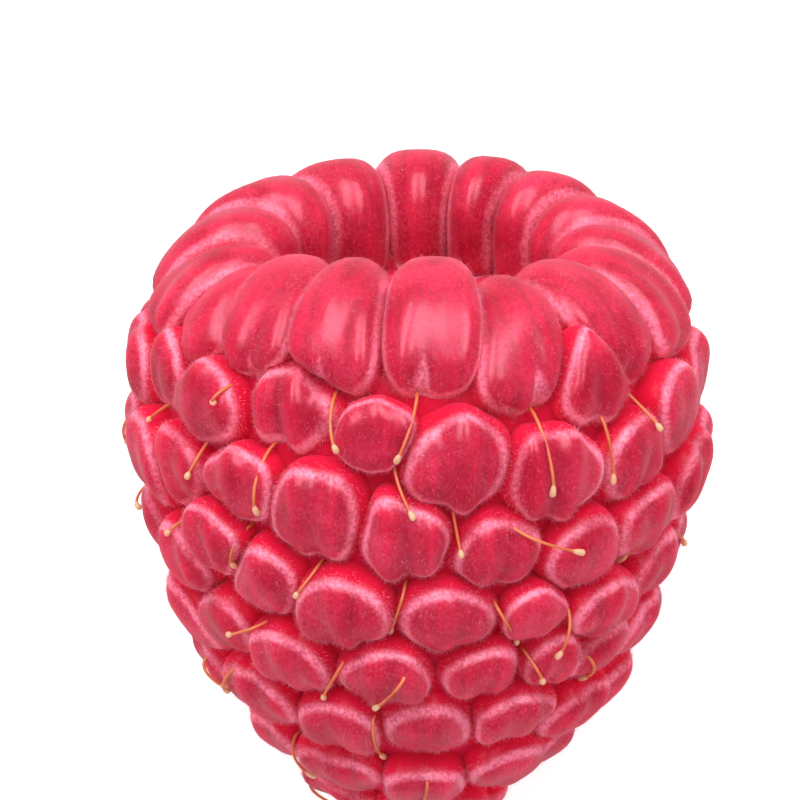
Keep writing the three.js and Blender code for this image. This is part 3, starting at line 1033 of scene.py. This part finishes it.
# %% Skin: its gloss and depth
SKIN = {
    "IOR": 1.5,
    "Specular Tint": (1, 0.42, 0.56, 1),
    "Subsurface Weight": 0.8,
    "Subsurface Radius": (1, 0.06, 0.12),
    "Subsurface Scale": 1.8 * MM,
    "Coat Weight": 0.1,
    "Coat Roughness": 0.22,
    "Sheen Weight": 0.08,
    "Sheen Roughness": 0.35,
    "Sheen Tint": (1, 0.6, 0.7, 1),
}
skin = bpy.data.materials.new("skin")
skin.use_nodes = True
nodes = skin.node_tree.nodes
links = skin.node_tree.links
surface = nodes["Principled BSDF"]
for name, value in SKIN.items():
    surface.inputs[name].default_value = value
place = nodes.new("ShaderNodeTexCoord")
flank = attribute("flank")
print("light sinks about", round(SKIN["Subsurface Scale"] / MM, 1), "mm into the skin")

# %% [markdown]
# The flesh colour goes from dark to clear red in cloudy patches. Mixed into them are streaks that
# follow the stored stripe number. Where the neighbours press hardest it turns to an even, clear red:
# a painted glow in the creases, standing in for light that scatters through the thin skin there.

# %% Skin: the colour of the flesh
DARK_FLESH = (0.37, 0, 0.02)
CLEAR_FLESH = (0.7, 0.001, 0.058)
PAINTED_CREASE_GLOW = (0.7, 0, 0.036)
STREAKS = 0.42  # share of the streaks in the mottling
patches = noise(Scale=420, Detail=8, Roughness=0.75)
streaked = noise(Scale=150, Detail=4, Roughness=0.6)
streaked.noise_dimensions = "4D"
links.new(attribute("stripe"), streaked.inputs["W"])
mottled = nodes.new("ShaderNodeMix")
mottled.inputs["Factor"].default_value = STREAKS
links.new(patches.outputs["Fac"], mottled.inputs["A"])
links.new(streaked.outputs["Fac"], mottled.inputs["B"])
flesh_colours = ramp(mottled.outputs["Result"], (0.4, DARK_FLESH), (0.64, CLEAR_FLESH))
# painted glow: the creases are laid over with clear red where light scattered through the skin would show
with_painted_glow = laid_over(flesh_colours.outputs["Color"], PAINTED_CREASE_GLOW, ranged(flank, 0.55, 0.82))
print("flesh colours from", DARK_FLESH, "to", CLEAR_FLESH)

# %% [markdown]
# The pale bloom is hair too fine to model one by one. Its colour is laid as a band round the flanks of
# each drupelet, and thins out towards the crown and into the crease. The band is partly the bloom's own
# pale colour and partly a painted sheen: the pale rim that grazing light gives a velvety edge. Two
# noises break it up: a coarse one into thicker and barer places, and a very fine one into single hairs.

# %% Skin: the pale bloom
# the pale band is the bloom's own colour together with a painted sheen on the flanks
BLOOM_AND_SHEEN = (0.97, 0.27, 0.4)
BLOOM_AND_SHEEN_BAND = [(0.1, 0.09), (0.36, 0.1), (0.56, 0.92), (0.76, 0), (0.9, 0)]  # pressure, and how much bloom
bloom_and_sheen_band = ramp(flank, *[(position, (much, much, much)) for position, much in BLOOM_AND_SHEEN_BAND])
bloom_and_sheen_band.color_ramp.interpolation = "EASE"
frost_grain = noise(Scale=6000, Detail=3, Roughness=0.7).outputs["Fac"]
frost_patches = noise(Scale=420, Detail=2).outputs["Fac"]
banded = times(bloom_and_sheen_band.outputs["Color"], ranged(frost_patches, 0.35, 0.7, 0.5, 1.5))
bloom_and_sheen_mask = times(banded, ranged(frost_grain, 0.38, 0.66, 0.45, 1.5))
links.new(laid_over(with_painted_glow, BLOOM_AND_SHEEN, bloom_and_sheen_mask), surface.inputs["Base Color"])
print("the bloom is thickest at a pressure of", max(BLOOM_AND_SHEEN_BAND, key=lambda stop: stop[1])[0])

# %% [markdown]
# Under the bloom the skin is minutely bumpy, and in the creases, where no light gets in, it is dull.
# A crown is glossy, so the roughness follows how hard the neighbours press.

# %% Skin: its grain and where it is dull
fuzz_grain = noise(Scale=5000, Detail=3)
bump = node("ShaderNodeBump", Strength=0.35, Distance=0.05 * MM)
links.new(fuzz_grain.outputs["Fac"], bump.inputs["Height"])
links.new(bump.outputs["Normal"], surface.inputs["Normal"])
links.new(ranged(flank, 0.55, 0.8, 0.3, 1), surface.inputs["Roughness"])
fruit.data.materials.clear()
fruit.data.materials.append(skin)
print("the skin has", len(nodes), "nodes")

# %% [markdown]
# A dried thread and a tuft of down are both never one even colour. They share that effect, so it is
# a node group, made once: noise between a dark and a light tone. Each material sets its own tones.

# %% Group: two tones
TONE_LOW, TONE_HIGH = 0.35, 0.65
two_tones = bpy.data.node_groups.new("two_tones", "ShaderNodeTree")
for name, kind in [("Vector", "Vector"), ("Scale", "Float"), ("Detail", "Float"), ("Dark", "Color"),
                   ("Light", "Color")]:
    two_tones.interface.new_socket(name=name, in_out="INPUT", socket_type="NodeSocket" + kind)
two_tones.interface.new_socket(name="Color", in_out="OUTPUT", socket_type="NodeSocketColor")
nodes = two_tones.nodes
links = two_tones.links
given = nodes.new("NodeGroupInput")
put_out = nodes.new("NodeGroupOutput")
tufts = nodes.new("ShaderNodeTexNoise")
for name in ["Vector", "Scale", "Detail"]:
    links.new(given.outputs[name], tufts.inputs[name])
between = nodes.new("ShaderNodeMix")
between.data_type = "RGBA"
links.new(ranged(tufts.outputs["Fac"], TONE_LOW, TONE_HIGH), between.inputs["Factor"])
links.new(given.outputs["Dark"], between.inputs["A"])
links.new(given.outputs["Light"], between.inputs["B"])
links.new(between.outputs["Result"], put_out.inputs["Color"])


def toned(scale, detail, dark, light):
    """The group in the material at hand, with its own values."""
    made = nodes.new("ShaderNodeGroup")
    made.node_tree = two_tones
    links.new(place.outputs["Object"], made.inputs["Vector"])
    made.inputs["Scale"].default_value = scale
    made.inputs["Detail"].default_value = detail
    made.inputs["Dark"].default_value = (*dark, 1)
    made.inputs["Light"].default_value = (*light, 1)
    return made.outputs["Color"]


print("the group has", len(nodes), "nodes")

# %% [markdown]
# A style is a dried thread, orange to rust, and hardly glossy. The knob at its end was its stigma and
# has dried to a pale straw colour. The stored knob number says which is which.

# %% Dry style
RUST = (0.62, 0.11, 0.03)
ORANGE = (0.78, 0.2, 0.06)
STRAW = (0.8, 0.44, 0.25)
dry = bpy.data.materials.new("dry_style")
dry.use_nodes = True
nodes = dry.node_tree.nodes
links = dry.node_tree.links
thread = nodes["Principled BSDF"]
thread.inputs["Roughness"].default_value = 0.55
place = nodes.new("ShaderNodeTexCoord")
links.new(laid_over(toned(900, 3, RUST, ORANGE), STRAW, attribute("knob")), thread.inputs["Base Color"])
styles.data.materials.clear()
styles.data.materials.append(dry)
print("the dry style has", len(nodes), "nodes")

# %% [markdown]
# The down is almost white hair, but on a raspberry it takes the red light that comes out of the skin.
# Its colour is a pale red, deeper in some tufts than in others.

# %% Down
DEEP_DOWN = (0.8, 0.1, 0.2)
PALE_DOWN = (0.92, 0.32, 0.44)
down = bpy.data.materials.new("down")
down.use_nodes = True
nodes = down.node_tree.nodes
links = down.node_tree.links
hairs = nodes["Principled BSDF"]
hairs.inputs["Roughness"].default_value = 0.6
place = nodes.new("ShaderNodeTexCoord")
links.new(toned(700, 2, DEEP_DOWN, PALE_DOWN), hairs.inputs["Base Color"])
for piece in fuzz:
    piece.data.materials.append(down)
print("down on", len(fuzz), "pieces")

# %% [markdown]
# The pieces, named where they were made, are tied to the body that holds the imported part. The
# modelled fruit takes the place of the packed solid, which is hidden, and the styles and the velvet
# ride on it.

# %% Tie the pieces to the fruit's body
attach(fruit, "root")
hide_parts("berry")
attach(styles, "root")
for piece in fuzz:
    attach(piece, "root")
